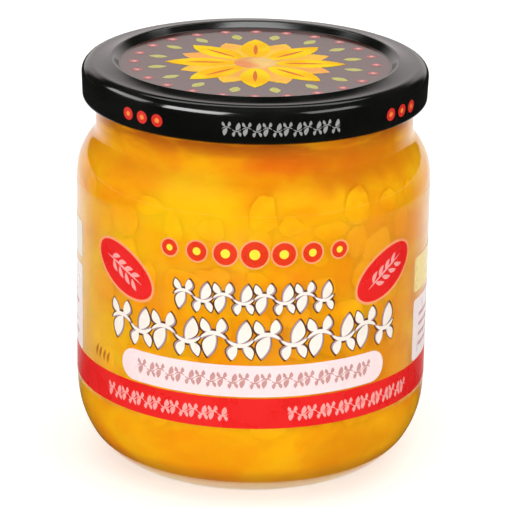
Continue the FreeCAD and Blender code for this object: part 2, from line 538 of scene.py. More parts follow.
def jam_tones(tree, place):
    """Orange and yellow pulp in soft patches, with painted shade under the lid and along the floor, and
    painted light on the jam's floor where it shows through the glass base.
    """
    stretched = node(tree, "ShaderNodeMapping", {"Vector": place, "Scale": (1.0, 1.0, 1.6)}).outputs[0]
    clouds = noise(tree, stretched, 42.0, 4.0, 0.55, 0.6)
    colour = blend(tree, ease(tree, clouds, 0.32, 0.68), tone(246, 152, 12), tone(252, 184, 12))
    pulp = node(
        tree,
        "ShaderNodeTexVoronoi",
        {"Vector": stretched, "Scale": 105.0, "Smoothness": 0.35, "Randomness": 1.0},
        feature="SMOOTH_F1",
    )
    pulp_tone = node(tree, "ShaderNodeSeparateColor", {0: pulp.outputs["Color"]}).outputs[0]
    pale_pulp = calc(tree, "MULTIPLY", ease(tree, pulp_tone, 0.55, 0.9), 0.12)
    colour = blend(tree, pale_pulp, colour, tone(252, 204, 40))
    dark_pulp = calc(tree, "MULTIPLY", ease(tree, pulp_tone, 0.35, 0.05), 0.14)
    colour = blend(tree, dark_pulp, colour, tone(226, 122, 12))
    wander = noise(tree, place, 90.0, 2.0)
    for angle, height, half_width, half_height, patch_tone, strength in JAM_PATCHES:
        turn = math.radians(angle)
        middle = (MM * CAVITY_R * math.sin(turn), -MM * CAVITY_R * math.cos(turn), MM * height)
        spot = node(
            tree,
            "ShaderNodeMapping",
            {
                "Vector": place,
                "Location": middle,
                "Rotation": (0, 0, turn),
                "Scale": (MM * half_width, MM * half_width, MM * half_height),
            },
            vector_type="TEXTURE",
        )
        away = node(tree, "ShaderNodeVectorMath", {0: spot.outputs[0]}, operation="LENGTH").outputs["Value"]
        away = calc(tree, "ADD", away, calc(tree, "MULTIPLY", calc(tree, "SUBTRACT", wander, 0.5), 1.2))
        share = calc(tree, "MULTIPLY", ease(tree, away, 1.2, 0.35), strength)
        colour = blend(tree, share, colour, tone(*patch_tone))
    height = node(tree, "ShaderNodeSeparateXYZ", {0: place}).outputs["Z"]
    streak_place = node(tree, "ShaderNodeMapping", {"Vector": place, "Scale": (1.0, 1.0, 5.0)}).outputs[0]
    streaks = ease(tree, noise(tree, streak_place, 70.0, 3.0), 0.35, 0.6)
    # Painted shade under the lid: the jam turns dark brown towards its top, broken by streaks.
    near_top = ease(tree, height, MM * (LID_EDGE_Z - 9.0), MM * (LID_EDGE_Z - 0.5))
    lid_shade_share = calc(tree, "ADD", 0.38, calc(tree, "MULTIPLY", streaks, 0.56))
    colour = blend(tree, calc(tree, "MULTIPLY", near_top, lid_shade_share), colour, tone(182, 86, 20))
    # Painted shade: a brownish band a little above the jam's floor, where its bottom edge lies in shade.
    floor_shade_band = ease(tree, height, MM * 10.0, MM * 6.0, 0.0, 0.45)
    colour = blend(tree, floor_shade_band, colour, tone(168, 112, 34))
    # Painted light: the jam's floor is pale, standing in for the light that comes in through the glass base.
    base_light_glow = ease(tree, height, MM * 6.0, MM * 4.4, 0.0, 0.75)
    colour = blend(tree, base_light_glow, colour, tone(252, 226, 176))
    return colour, clouds


def peach_jam():
    """Set jam, soft enough that light spreads in it."""
    material, tree = new_material("peach jam")
    colour, clouds = jam_tones(tree, object_place(tree))
    jam = node(
        tree,
        "ShaderNodeBsdfPrincipled",
        {
            "Base Color": colour,
            "Roughness": ease(tree, clouds, 0.3, 0.7, 0.3, 0.45),
            "IOR": 1.4,
            "Subsurface Weight": 0.5,
            "Subsurface Radius": (1.0, 0.7, 0.3),
            "Subsurface Scale": 0.005,
            "Specular IOR Level": 0.02,
            "Normal": grouped(tree, RIPPLE, Waves_per_metre=240.0, Height=0.0003).outputs["Normal"],
        },
    )
    output(tree, jam.outputs[0])
    return material


def fruit_flesh():
    """Pieces of fruit pressed against the glass, each a little paler than the jam round it."""
    material, tree = new_material("fruit flesh")
    colour, _ = jam_tones(tree, object_place(tree))
    own_tone = node(tree, "ShaderNodeAttribute", attribute_name="flesh tone").outputs["Fac"]
    fibres = noise(tree, object_place(tree), 260.0, 3.0, 0.6)
    colour = blend(tree, calc(tree, "MULTIPLY", own_tone, 0.22), colour, tone(252, 190, 12))
    fibre_share = calc(tree, "MULTIPLY", ease(tree, fibres, 0.4, 0.7), 0.2)
    colour = blend(tree, fibre_share, colour, tone(228, 134, 12))
    flesh = node(
        tree,
        "ShaderNodeBsdfPrincipled",
        {
            "Base Color": colour,
            "Roughness": ease(tree, fibres, 0.3, 0.7, 0.35, 0.5),
            "IOR": 1.4,
            "Specular IOR Level": 0.02,
            "Normal": grouped(tree, RIPPLE, Waves_per_metre=400.0, Height=0.0002).outputs["Normal"],
        },
    )
    output(tree, flesh.outputs[0])
    return material


def black_lacquer():
    """Stoved black lacquer, with a warmer tone on the panel than on the skirt that is painted sheen."""
    material, tree = new_material("black lacquer")
    place = object_place(tree)
    parts = node(tree, "ShaderNodeSeparateXYZ", {0: place})
    from_axis = calc(
        tree,
        "SQRT",
        calc(
            tree,
            "ADD",
            calc(tree, "MULTIPLY", parts.outputs["X"], parts.outputs["X"]),
            calc(tree, "MULTIPLY", parts.outputs["Y"], parts.outputs["Y"]),
        ),
    )
    on_panel = ease(tree, from_axis, MM * (LAND_R - 1.8), MM * (LAND_R - 2.6))
    clouds = noise(tree, place, 60.0, 3.0)
    black = blend(tree, ease(tree, clouds, 0.35, 0.65), tone(9, 10, 8), tone(17, 18, 15))
    # Painted sheen: the panel's warmer tone stands in for the mauve glow that the panel reflects.
    warm = blend(tree, ease(tree, clouds, 0.35, 0.65), tone(74, 38, 32), tone(82, 44, 38))
    lacquer = node(
        tree,
        "ShaderNodeBsdfPrincipled",
        {
            "Base Color": blend(tree, on_panel, black, warm),
            "Roughness": ease(tree, clouds, 0.3, 0.7, 0.10, 0.18),
            "IOR": 1.55,
            "Normal": grouped(tree, RIPPLE, Waves_per_metre=300.0, Height=0.000012).outputs["Normal"],
        },
    )
    output(tree, lacquer.outputs[0])
    return material


def label_film_material():
    """Clear film, seen only by a faint haze and by the sheen near its edges of view; that sheen is partly
    real gloss and partly painted, its cream colour showing more where it is seen edge-on.
    """
    material, tree = new_material("clear film")
    haze = noise(tree, object_place(tree), 70.0, 3.0)
    sideways = node(tree, "ShaderNodeLayerWeight", {"Blend": 0.5}).outputs["Facing"]
    # Painted sheen, with real gloss: towards the edges of view the film's cream colour shows through more.
    sheen = calc(tree, "MULTIPLY", calc(tree, "POWER", sideways, 5.0), 0.55)
    shown = calc(tree, "ADD", sheen, ease(tree, haze, 0.4, 0.7, 0.0, 0.006))
    film = node(
        tree,
        "ShaderNodeBsdfPrincipled",
        {
            "Base Color": (0.95, 0.86, 0.74, 1.0),
            "Roughness": ease(tree, haze, 0.3, 0.7, 0.12, 0.22),
            "Alpha": shown,
            "Normal": grouped(tree, RIPPLE, Waves_per_metre=45.0, Height=0.0001).outputs["Normal"],
        },
    )
    output(tree, film.outputs[0])
    return material


def ink(name, red, green, blue, unevenness=0.08, gloss=0.5, blush=None):
    """Printed ink; blush is a second tone that it runs into in soft clouds."""
    material, tree = new_material(name)
    printed = grouped(tree, PRINTED_INK, Ink=tone(red, green, blue), Unevenness=unevenness)
    if blush:
        clouds = noise(tree, object_place(tree), 80.0, 1.0)
        both = blend(tree, ease(tree, clouds, 0.42, 0.60), tone(red, green, blue), tone(*blush))
        tree.links.new(both, printed.inputs["Ink"])
    surface = node(
        tree,
        "ShaderNodeBsdfPrincipled",
        {
            "Base Color": printed.outputs["Color"],
            "Roughness": printed.outputs["Roughness"],
            "Specular IOR Level": gloss,
        },
    )
    output(tree, surface.outputs[0])
    return material


# ---------------------------------------------------------------- rows of prints round a drum


def drum_row_tree():
    """Repeats a flat print along a line and bends the row round a drum.

    Each print in the row lies a hair above the one before.
    """
    tree = bpy.data.node_groups.new("row of prints round a drum", "GeometryNodeTree")
    tree.interface.new_socket("Print", in_out="INPUT", socket_type="NodeSocketGeometry")
    for label, kind in (
        ("Count", "NodeSocketInt"),
        ("Pitch", "NodeSocketFloat"),
        ("Lift", "NodeSocketFloat"),
        ("First", "NodeSocketFloat"),
        ("Height", "NodeSocketFloat"),
        ("Drum radius", "NodeSocketFloat"),
        ("Flare", "NodeSocketFloat"),
        ("Turn of every second", "NodeSocketFloat"),
        ("Unevenness", "NodeSocketFloat"),
        ("Ink", "NodeSocketMaterial"),
    ):
        tree.interface.new_socket(label, in_out="INPUT", socket_type=kind)
    tree.interface.new_socket("Row", in_out="OUTPUT", socket_type="NodeSocketGeometry")
    start = node(tree, "NodeGroupInput").outputs
    offset = node(tree, "ShaderNodeCombineXYZ", {0: start["Pitch"], 2: start["Lift"]}).outputs[0]
    first = node(tree, "ShaderNodeCombineXYZ", {0: start["First"]}).outputs[0]
    line = node(
        tree,
        "GeometryNodeMeshLine",
        {"Count": start["Count"], "Start Location": first, "Offset": offset},
        mode="OFFSET",
    )
    index = node(tree, "GeometryNodeInputIndex").outputs[0]
    turn = calc(tree, "MULTIPLY", calc(tree, "MODULO", index, 2.0), start["Turn of every second"])
    turned = node(tree, "ShaderNodeCombineXYZ", {2: turn}).outputs[0]
    size = node(
        tree,
        "FunctionNodeRandomValue",
        {
            2: calc(tree, "SUBTRACT", 1.0, start["Unevenness"]),
            3: calc(tree, "ADD", 1.0, start["Unevenness"]),
            "Seed": 4,
        },
        data_type="FLOAT",
    ).outputs[1]
    placed = node(
        tree,
        "GeometryNodeInstanceOnPoints",
        {"Points": line.outputs[0], "Instance": start["Print"], "Rotation": turned, "Scale": size},
    )
    real = node(tree, "GeometryNodeRealizeInstances", {0: placed.outputs[0]}).outputs[0]
    where = node(tree, "GeometryNodeInputPosition").outputs[0]
    flat = node(tree, "ShaderNodeSeparateXYZ", {0: where}).outputs
    angle = calc(tree, "DIVIDE", flat["X"], start["Drum radius"])
    lean = calc(tree, "MULTIPLY", flat["Y"], start["Flare"])
    radius = calc(tree, "ADD", calc(tree, "ADD", start["Drum radius"], flat["Z"]), lean)
    wrapped = node(
        tree,
        "ShaderNodeCombineXYZ",
        {
            0: calc(tree, "MULTIPLY", radius, calc(tree, "SINE", angle)),
            1: calc(tree, "MULTIPLY", calc(tree, "MULTIPLY", radius, calc(tree, "COSINE", angle)), -1.0),
            2: calc(tree, "ADD", flat["Y"], start["Height"]),
        },
    ).outputs[0]
    bent = node(tree, "GeometryNodeSetPosition", {"Geometry": real, "Position": wrapped}).outputs[0]
    inked = node(tree, "GeometryNodeSetMaterial", {"Geometry": bent, "Material": start["Ink"]}).outputs[0]
    node(tree, "NodeGroupOutput", {"Row": inked})
    return tree


DRUM_ROW = drum_row_tree()


def grown(source, tree, **values):
    """Runs a Geometry Nodes tree on a source mesh and returns the result as a plain mesh."""
    carrier = bpy.data.objects.new("carrier", source)
    bpy.context.scene.collection.objects.link(carrier)
    modifier = carrier.modifiers.new("grow", "NODES")
    modifier.node_group = tree
    for socket in tree.interface.items_tree:
        key = socket.name.replace(" ", "_")
        if socket.in_out == "INPUT" and key in values:
            modifier[socket.identifier] = values[key]
    bpy.context.view_layer.update()
    evaluated = carrier.evaluated_get(bpy.context.evaluated_depsgraph_get())
    mesh = bpy.data.meshes.new_from_object(evaluated)
    carrier.modifiers.remove(modifier)
    bpy.data.objects.remove(carrier)
    bpy.data.meshes.remove(source)
    return mesh


def drum_print(name, outlines, material, radius, height, layer=0, **row):
    """Prints outlines round a drum; u runs round it from the front and v upwards, in millimetres."""
    values = {"Count": 1, "Pitch": 0.0, "First": 0.0, "Lift": ROW_LIFT, "Flare": 0.0}
    values.update({"Turn_of_every_second": 0.0, "Unevenness": 0.0, "Ink": material})
    values.update(row)
    values.update({"Drum_radius": radius + layer * INK_LAYER, "Height": height})
    mesh = grown(flat_sheets(outlines), DRUM_ROW, **values)
    return show(name, to_metres(mesh), material)


def panel_print(name, outlines, material, layer=0):
    """Prints outlines on the lid's flat panel."""
    mesh = flat_sheets(outlines, bend_step=0)
    mesh.transform(Matrix.Translation((0, 0, PANEL_Z + 0.01 + layer * INK_LAYER)))
    return show(name, to_metres(mesh), material)


def round_the_label(degrees):
    """How far an angle is along the label, in millimetres."""
    return math.radians(degrees) * FIRST_INK_R


def on_label(name, outlines, material, layer=0, rise=0.0, **row):
    return drum_print(name, outlines, material, FIRST_INK_R, LABEL_Z + rise, layer, **row)


# ---------------------------------------------------------------- main pieces


def mould_relief(r, z, degrees, place):
    """Two mould seams on the sides, and fine knurls round the foot."""
    if place > INSIDE_FROM and z < JAR_HEIGHT - 20 and r < BODY_R - 0.5:
        return 0.0
    rise = 0.0
    covered = LABEL_Z - 1 < z < LABEL_HIGH.z + 1
    if not covered and z < CREASE_Z + 4 and r > FOOT_R:
        for seam in SEAM_ANGLES:
            rise += SEAM_RISE * math.exp(-(((degrees - seam) / SEAM_SPREAD) ** 2))
    if 0.02 < z < KNURL_TOP and FOOT_R < r < FOOT_R + KNURL_REACH:
        rise -= KNURL_DEPTH * (0.5 + 0.5 * math.cos(math.radians(degrees * KNURLS)))
    return rise


def fruit_tree():
    """Scatters flattened lumps of fruit over the jam's wall."""
    tree = bpy.data.node_groups.new("fruit against the glass", "GeometryNodeTree")
    tree.interface.new_socket("Wall", in_out="INPUT", socket_type="NodeSocketGeometry")
    for label, kind in (
        ("Spacing", "NodeSocketFloat"),
        ("Smallest", "NodeSocketFloat"),
        ("Largest", "NodeSocketFloat"),
        ("Thickness", "NodeSocketFloat"),
        ("Lumpiness", "NodeSocketFloat"),
        ("Flesh", "NodeSocketMaterial"),
    ):
        tree.interface.new_socket(label, in_out="INPUT", socket_type=kind)
    tree.interface.new_socket("Fruit", in_out="OUTPUT", socket_type="NodeSocketGeometry")
    start = node(tree, "NodeGroupInput").outputs
    spread = node(
        tree,
        "GeometryNodeDistributePointsOnFaces",
        {"Mesh": start["Wall"], "Distance Min": start["Spacing"], "Density Max": 0.05, "Seed": 11},
        distribute_method="POISSON",
    )
    lump = node(tree, "GeometryNodeMeshIcoSphere", {"Radius": 1.0, "Subdivisions": 3}).outputs[0]
    wide = node(
        tree,
        "FunctionNodeRandomValue",
        {2: start["Smallest"], 3: start["Largest"], "Seed": 5},
        data_type="FLOAT",
    ).outputs[1]
    tall = node(
        tree,
        "FunctionNodeRandomValue",
        {2: start["Smallest"], 3: start["Largest"], "Seed": 8},
        data_type="FLOAT",
    ).outputs[1]
    size = node(tree, "ShaderNodeCombineXYZ", {0: wide, 1: tall, 2: start["Thickness"]}).outputs[0]
    placed = node(
        tree,
        "GeometryNodeInstanceOnPoints",
        {
            "Points": spread.outputs["Points"],
            "Instance": lump,
            "Rotation": spread.outputs["Rotation"],
            "Scale": size,
        },
    ).outputs[0]
    own = node(tree, "FunctionNodeRandomValue", {2: 0.0, 3: 1.0, "Seed": 2}, data_type="FLOAT").outputs[1]
    toned = node(
        tree,
        "GeometryNodeStoreNamedAttribute",
        {"Geometry": placed, "Name": "flesh tone", "Value": own},
        data_type="FLOAT",
        domain="INSTANCE",
    ).outputs[0]
    real = node(tree, "GeometryNodeRealizeInstances", {0: toned}).outputs[0]
    lumps = node(tree, "ShaderNodeTexNoise", {"Scale": 0.28, "Detail": 2.0}).outputs["Color"]
    shift = node(
        tree, "ShaderNodeVectorMath", {0: lumps, 1: (0.5, 0.5, 0.5)}, operation="SUBTRACT"
    ).outputs[0]
    push = node(
        tree, "ShaderNodeVectorMath", {0: shift, "Scale": start["Lumpiness"]}, operation="SCALE"
    ).outputs[0]
    where = node(tree, "GeometryNodeInputPosition").outputs[0]
    flat_place = node(tree, "ShaderNodeVectorMath", {0: where, 1: (1, 1, 0)}, operation="MULTIPLY").outputs[0]
    before = node(tree, "ShaderNodeVectorMath", {0: flat_place}, operation="LENGTH").outputs["Value"]
    target = node(tree, "ShaderNodeVectorMath", {0: where, 1: push}, operation="ADD").outputs[0]
    flat_target = node(
        tree, "ShaderNodeVectorMath", {0: target, 1: (1, 1, 0)}, operation="MULTIPLY"
    ).outputs[0]
    after = node(tree, "ShaderNodeVectorMath", {0: flat_target}, operation="LENGTH").outputs["Value"]
    share = calc(tree, "DIVIDE", before, after)
    keep = node(tree, "ShaderNodeCombineXYZ", {0: share, 1: share, 2: 1.0}).outputs[0]
    final = node(tree, "ShaderNodeVectorMath", {0: target, 1: keep}, operation="MULTIPLY").outputs[0]
    lumpy = node(tree, "GeometryNodeSetPosition", {"Geometry": real, "Position": final}).outputs[0]
    fleshed = node(
        tree, "GeometryNodeSetMaterial", {"Geometry": lumpy, "Material": start["Flesh"]}
    ).outputs[0]
    node(tree, "NodeGroupOutput", {"Fruit": fleshed})
    return tree


def drum_mesh(radius, low_z, high_z, segments=120):
    """An open ring of wall, in millimetres, that things are scattered over."""
    bm = bmesh.new()
    rows = []
    for z in (low_z, high_z):
        turns = [2 * math.pi * i / segments for i in range(segments)]
        rows.append([bm.verts.new((radius * math.sin(t), -radius * math.cos(t), z)) for t in turns])
    for i in range(segments):
        following = (i + 1) % segments
        bm.faces.new((rows[0][i], rows[0][following], rows[1][following], rows[1][i]))
    mesh = bpy.data.meshes.new("wall to scatter over")
    bm.to_mesh(mesh)
    bm.free()
    return mesh


def film_outline():
    """The film laid flat, from one end at the back round to the other."""
    half_gap = math.degrees(LABEL_GAP / 2 / BODY_R)
    half_turn = 180 - half_gap
    half_length = math.radians(half_turn) * FILM_IN_R
    return bar(-half_length, half_length, 0, LABEL_HIGH.z - LABEL_Z, 1.5)


glass_material = clear_glass()
jam_material = peach_jam()
flesh_material = fruit_flesh()
lacquer_material = black_lacquer()
film_material = label_film_material()

glass_wall = lathe("glass_wall", glass_outline(), glass_material, relief=mould_relief)
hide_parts("glass_jar")

jam_filling = lathe(
    "jam_filling",
    [*inner_wall(JAM_IN_WALL), (BORE_R + JAM_IN_WALL, JAM_LEVEL), (0, JAM_LEVEL)],
    jam_material,
    segments=192,
)
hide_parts("jam")

fruit_pieces = show(
    "fruit_pieces",
    to_metres(
        grown(
            drum_mesh(FRUIT_R, HEEL_HEIGHT, FRUIT_TOP),
            fruit_tree(),
            Spacing=7.0,
            Smallest=2.0,
            Largest=5.0,
            Thickness=0.22,
            Lumpiness=3.0,
            Flesh=flesh_material,
        )
    ),
    flesh_material,
)

lid_shell = lathe("lid_shell", lid_outline(), lacquer_material)
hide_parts("lid")

label_film = drum_print("label_film", [film_outline()], film_material, FILM_IN_R, LABEL_Z)
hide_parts("label")

# ---------------------------------------------------------------- prints on the label

red = ink("red ink", 234, 26, 24, gloss=0.3)
warm_red = ink("warm red ink", 226, 54, 18, gloss=0.2)
pale_rim = ink("pale orange ink", 250, 160, 106)
pink = ink("pale pink ink", 248, 164, 158)
white = ink("white ink", 252, 238, 236, 0.03)
pale_pink_white = ink("pink white ink", 249, 226, 226, 0.04)
cream = ink("cream ink", 247, 237, 226, 0.03)
brown = ink("brown ink", 92, 48, 20, 0.15)
mauve = ink("mauve ink", 176, 150, 158)
rose = ink("rose ink", 206, 150, 146)
yellow = ink("yellow ink", 252, 228, 52)
pale_yellow = ink("pale yellow ink", 254, 228, 150)
tan = ink("tan ink", 190, 110, 30)

inked = []


def label_piece(*args, **row):
    inked.append(on_label(*args, **row))


half_label = round_the_label(180) - LABEL_GAP / 2 - 0.5
label_piece("label_band", [bar(-half_label, half_label, 1.0, 8.7, 0.4)], red)
VINE_PITCH = 6.4
# One turn of a running vine: base, tip, width, bend and fullness of its stem and its leaves
VINE = (
    ((-3.3, -0.1), (3.3, 0.1), 1.1, 0.22, 0.3),
    ((0.5, 1.0), (-1.5, -4.7), 3.2, -0.10, 0.8),
    ((-0.7, 1.4), (-2.7, 4.9), 2.2, 0.12, 0.8),
    ((0.9, 1.3), (2.0, 5.2), 2.4, -0.12, 0.8),
)


def vine(scale, grow=0.0, shift=(0.0, 0.0)):
    """One turn of the vine, scaled, and grown and shifted as its edge or shade needs."""
    shapes = []
    for (u0, v0), (u1, v1), width, bend, fullness in VINE:
        du, dv = scale * (u1 - u0), scale * (v1 - v0)
        longer = 1.3 * grow / math.hypot(du, dv)
        base = (scale * u0 - du * longer + shift[0], scale * v0 - dv * longer + shift[1])
        tip = (scale * u1 + du * longer + shift[0], scale * v1 + dv * longer + shift[1])
        shapes.append(leaf(base, tip, scale * width + 2 * grow, bend, 12, fullness))
    return shapes


def vine_row(first, last, pitch):
    """Settings for a row that fills the length from first to last, each second turn upside down."""
    count = round((last - first) / pitch)
    start = (first + last) / 2 - pitch * (count - 1) / 2
    return {"Count": count, "Pitch": pitch, "First": start, "Turn_of_every_second": math.pi}


BAND_VINE = 0.38
for label_side, first, last in (("left", -52, -6.5), ("right", 12, 60)):
    label_piece(
        f"label_band_vine_{label_side}",
        vine(BAND_VINE),
        pink,
        layer=1,
        rise=4.6,
        **vine_row(round_the_label(first), round_the_label(last), BAND_VINE * VINE_PITCH),
    )

label_piece(
    "label_pill", [bar(round_the_label(-45), round_the_label(47), 9.1, 17.05, 3.95)], pale_pink_white
)
PILL_VINE = 0.41
label_piece(
    "label_pill_vine",
    vine(PILL_VINE, -0.03),
    rose,
    layer=1,
    rise=13.2,
    **vine_row(round_the_label(-38.5), round_the_label(41.5), PILL_VINE * VINE_PITCH),
)
label_piece(
    "label_side_marks",
    [leaf((u, 10.6 - 0.12 * u), (u + 1.0, 13.9 - 0.12 * u), 0.9, 0.1) for u in (-2.8, -1.2, 0.6, 2.2)],
    tan,
    First=round_the_label(-55.5),
)


def framed_vine(name, scale, rise, first, last):
    """A row of vine in three inks: brown edge, mauve shade and cream leaf."""
    for part, layer, colour, grow, shift in (
        ("edge", 0, brown, 0.36, (0.10, -0.10)),
        ("shade", 1, mauve, 0.04, (0.22, -0.18)),
        ("leaf", 2, cream, -0.06, (-0.06, 0.05)),
    ):
        label_piece(
            f"{name}_{part}",
            vine(scale, grow, shift),
            colour,
            layer=layer,
            rise=rise,
            **vine_row(round_the_label(first), round_the_label(last), scale * VINE_PITCH),
        )


framed_vine("label_wide_vine", 1.0, 23.5, -49.6, 51.5)
framed_vine("label_short_vine", 0.76, 33.7, -25, 26.6)

for label_side, sign in (("left", -1), ("right", 1)):
    centre = (round_the_label(-44.6 if sign < 0 else 46.9), 36.3)
    tilt = 27 * sign
    label_piece(f"label_oval_rim_{label_side}", [ellipse(centre, 10.4, 5.9, tilt)], pale_rim)
    label_piece(f"label_oval_{label_side}", [ellipse(centre, 9.75, 5.25, tilt)], red, layer=1)
    along = Vector((math.cos(math.radians(tilt)), math.sin(math.radians(tilt))))
    across = Vector((-along.y, along.x))
    middle_spot = Vector(centre)

    def spot(a, b):
        return tuple(middle_spot + along * a + across * b)

    sprig = [leaf(spot(-6.6, -0.4), spot(6.6, 0.4), 0.55, 0.03)]
    for step in (-4.6, -2.2, 0.2, 2.6):
        sprig.append(leaf(spot(step, 0.1), spot(step + 2.4, 2.1), 1.15, 0.1))
        sprig.append(leaf(spot(step + 0.8, -0.1), spot(step + 3.2, -2.0), 1.15, -0.1))
    label_piece(f"label_oval_sprig_{label_side}", sprig, pink, layer=2)

# A row of plain round beads that grow towards the middle
BEAD_PITCH = 6.9
bead_rims, beads, bead_hearts = [], [], []
for step in range(-3, 4):
    bead_middle = (round_the_label(0.8) + BEAD_PITCH * step, 44.8)
    bead_size = 3.2 - 0.4 * abs(step)
    bead_rims.append(ellipse(bead_middle, bead_size + 0.4, bead_size + 0.4))
    beads.append(ellipse(bead_middle, bead_size, bead_size))
    bead_hearts.append(ellipse(bead_middle, bead_size * 0.4, bead_size * 0.4, steps=24))
label_piece("label_bead_rims", bead_rims, pale_rim)
label_piece("label_beads", beads, warm_red, layer=1)
label_piece("label_bead_hearts", bead_hearts, yellow, layer=2)

RULE_PITCH = 2.6
RULE_HEIGHT = 0.9
FIELD_GAP = 2.0
FIELD_HEIGHT = 9.0
SIDE_END = 128
for label_side, sign, inner, low, high in (("right", 1, 65, 8.9, 24.8), ("left", -1, 72, 8.9, 31.0)):
    near = sign * round_the_label(inner)
    far = sign * round_the_label(SIDE_END)
    low_u, high_u = min(near, far), max(near, far)
    label_piece(f"label_panel_{label_side}", [bar(low_u, high_u, low, high, 1.0)], white)
    label_piece(
        f"label_field_{label_side}",
        [bar(low_u, high_u, high + FIELD_GAP, high + FIELD_GAP + FIELD_HEIGHT, 1.0)],
        pale_yellow if sign > 0 else cream,
    )
    rules = []
    for i in range(int((high - low - 4) / RULE_PITCH)):
        rule_low = low + 3 + RULE_PITCH * i
        rules.append(bar(low_u + 4, high_u - 4 - 3 * (i % 3), rule_low, rule_low + RULE_HEIGHT, 0.3))
    label_piece(f"label_panel_rules_{label_side}", rules, rose, layer=1)

# ---------------------------------------------------------------- prints on the lid

petal_yellow = ink("yellow petal ink", 252, 214, 50, 0.10, 0.0, (250, 190, 44))
petal_orange = ink("orange petal ink", 250, 178, 98, 0.12, 0.0, (250, 200, 78))
heart_peach = ink("peach heart ink", 242, 200, 128, 0.12, 0.0, (236, 156, 104))
rib_blush = ink("blush rib ink", 226, 122, 68, 0.15, 0.0)
leaf_green = ink("leaf ink", 196, 190, 92, 0.15, 0.2)
bud_pink = ink("pink bud ink", 196, 124, 126, 0.12, 0.0)
bud_cream = ink("cream bud ink", 232, 178, 166, 0.12, 0.0)
lid_red_ink = ink("lid red ink", 214, 38, 28)
lid_orange_ink = ink("lid orange ink", 244, 140, 50)
lid_white_ink = ink("lid white ink", 150, 150, 146, 0.1)


def lid_piece(*args, **settings):
    inked.append(panel_print(*args, **settings))


def on_the_panel(degrees, reach):
    """A place on the panel, so far out from its middle."""
    turn = math.radians(degrees)
    return (reach * math.cos(turn), reach * math.sin(turn))


def petals(count, first, inner, outer, width):
    """Leaves that point outwards, evenly all round the panel."""
    turns = [first + FULL_TURN * i / count for i in range(count)]
    return [leaf(on_the_panel(a, inner), on_the_panel(a, outer), width) for a in turns]


def ring_of_dots(count, reach, size):
    turns = [FULL_TURN * i / count for i in range(count)]
    return [ellipse(on_the_panel(a, reach), size, size, steps=18) for a in turns]


# A flower of two rings of petals, in a ring of leaves and a ring of buds
BUDS = 24
BUD_RING_R = 29.4
lid_piece("lid_petals_orange", petals(8, 22.5, 4.0, 19.5, 8.4), petal_orange)
lid_piece("lid_petals_yellow", petals(8, 0, 4.0, 22.0, 7.4), petal_yellow, layer=1)
lid_piece("lid_petal_ribs", petals(8, 0, 7.0, 17.0, 1.1), rib_blush, layer=2)
lid_piece("lid_flower_heart", [ellipse((0, 0), 5.2, 5.2)], heart_peach, layer=3)
lid_piece("lid_ring_leaves", petals(16, 11.25, 21.8, 26.6, 2.6), leaf_green)
lid_piece("lid_buds", ring_of_dots(BUDS, BUD_RING_R, 1.35), bud_pink)
lid_piece("lid_bud_hearts", ring_of_dots(BUDS, BUD_RING_R, 0.6), bud_cream, layer=1)

SKIRT_LOW = LID_EDGE_Z + CURL_R
SKIRT_HEIGHT = LID_SHOULDER[1] - SKIRT_LOW
SKIRT_FLARE = SKIRT_TAPER / SKIRT_HEIGHT
SKIRT_INK_R = LID_HIGH.x - SKIRT_TAPER + 0.012


def on_skirt(name, outlines, material, layer=0, rise=0.0, **row):
    """Prints round the lid's skirt; v is measured from the top of the curl."""
    radius = SKIRT_INK_R + SKIRT_FLARE * rise
    height = SKIRT_LOW + rise
    inked.append(drum_print(name, outlines, material, radius, height, layer, Flare=SKIRT_FLARE, **row))


def round_the_skirt(degrees):
    return math.radians(degrees) * SKIRT_INK_R


# Three plain beads on each side of the skirt
for label_side, bead_turn in (("left", -38.5), ("right", 55.5)):
    bead_spots = [(u, 2.8) for u in (-4.4, 0, 4.4)]
    skirt_beads = [ellipse(place, 1.55, 1.55, steps=28) for place in bead_spots]
    skirt_hearts = [ellipse(place, 0.6, 0.6, steps=18) for place in bead_spots]
    first = round_the_skirt(bead_turn)
    on_skirt(f"lid_skirt_beads_{label_side}", skirt_beads, lid_red_ink, First=first)
    on_skirt(f"lid_skirt_hearts_{label_side}", skirt_hearts, lid_orange_ink, layer=1, First=first)

SKIRT_VINE = 0.37
on_skirt(
    "lid_skirt_vine",
    vine(SKIRT_VINE, -0.08),
    lid_white_ink,
    rise=2.9,
    **vine_row(round_the_skirt(-10), round_the_skirt(28), SKIRT_VINE * VINE_PITCH),
)

# ---------------------------------------------------------------- what each piece belongs to

for piece in (glass_wall, jam_filling, fruit_pieces, lid_shell, label_film, *inked):
    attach(piece, BODY)
# The jam glows with light from all round the jar, so the prints don't shade it
for piece in inked:
    piece.visible_diffuse = False

# ---------------------------------------------------------------- studio

AMBIENT = 0.42
DARK_ROOM = 0.02
FLOOR_GLOW = 0.30


def any_of(tree, path, *kinds):
    """1 where the ray is of one of these kinds."""
    result = path.outputs[kinds[0]]
    for kind in kinds[1:]:
        result = calc(tree, "MAXIMUM", result, path.outputs[kind])
    return result


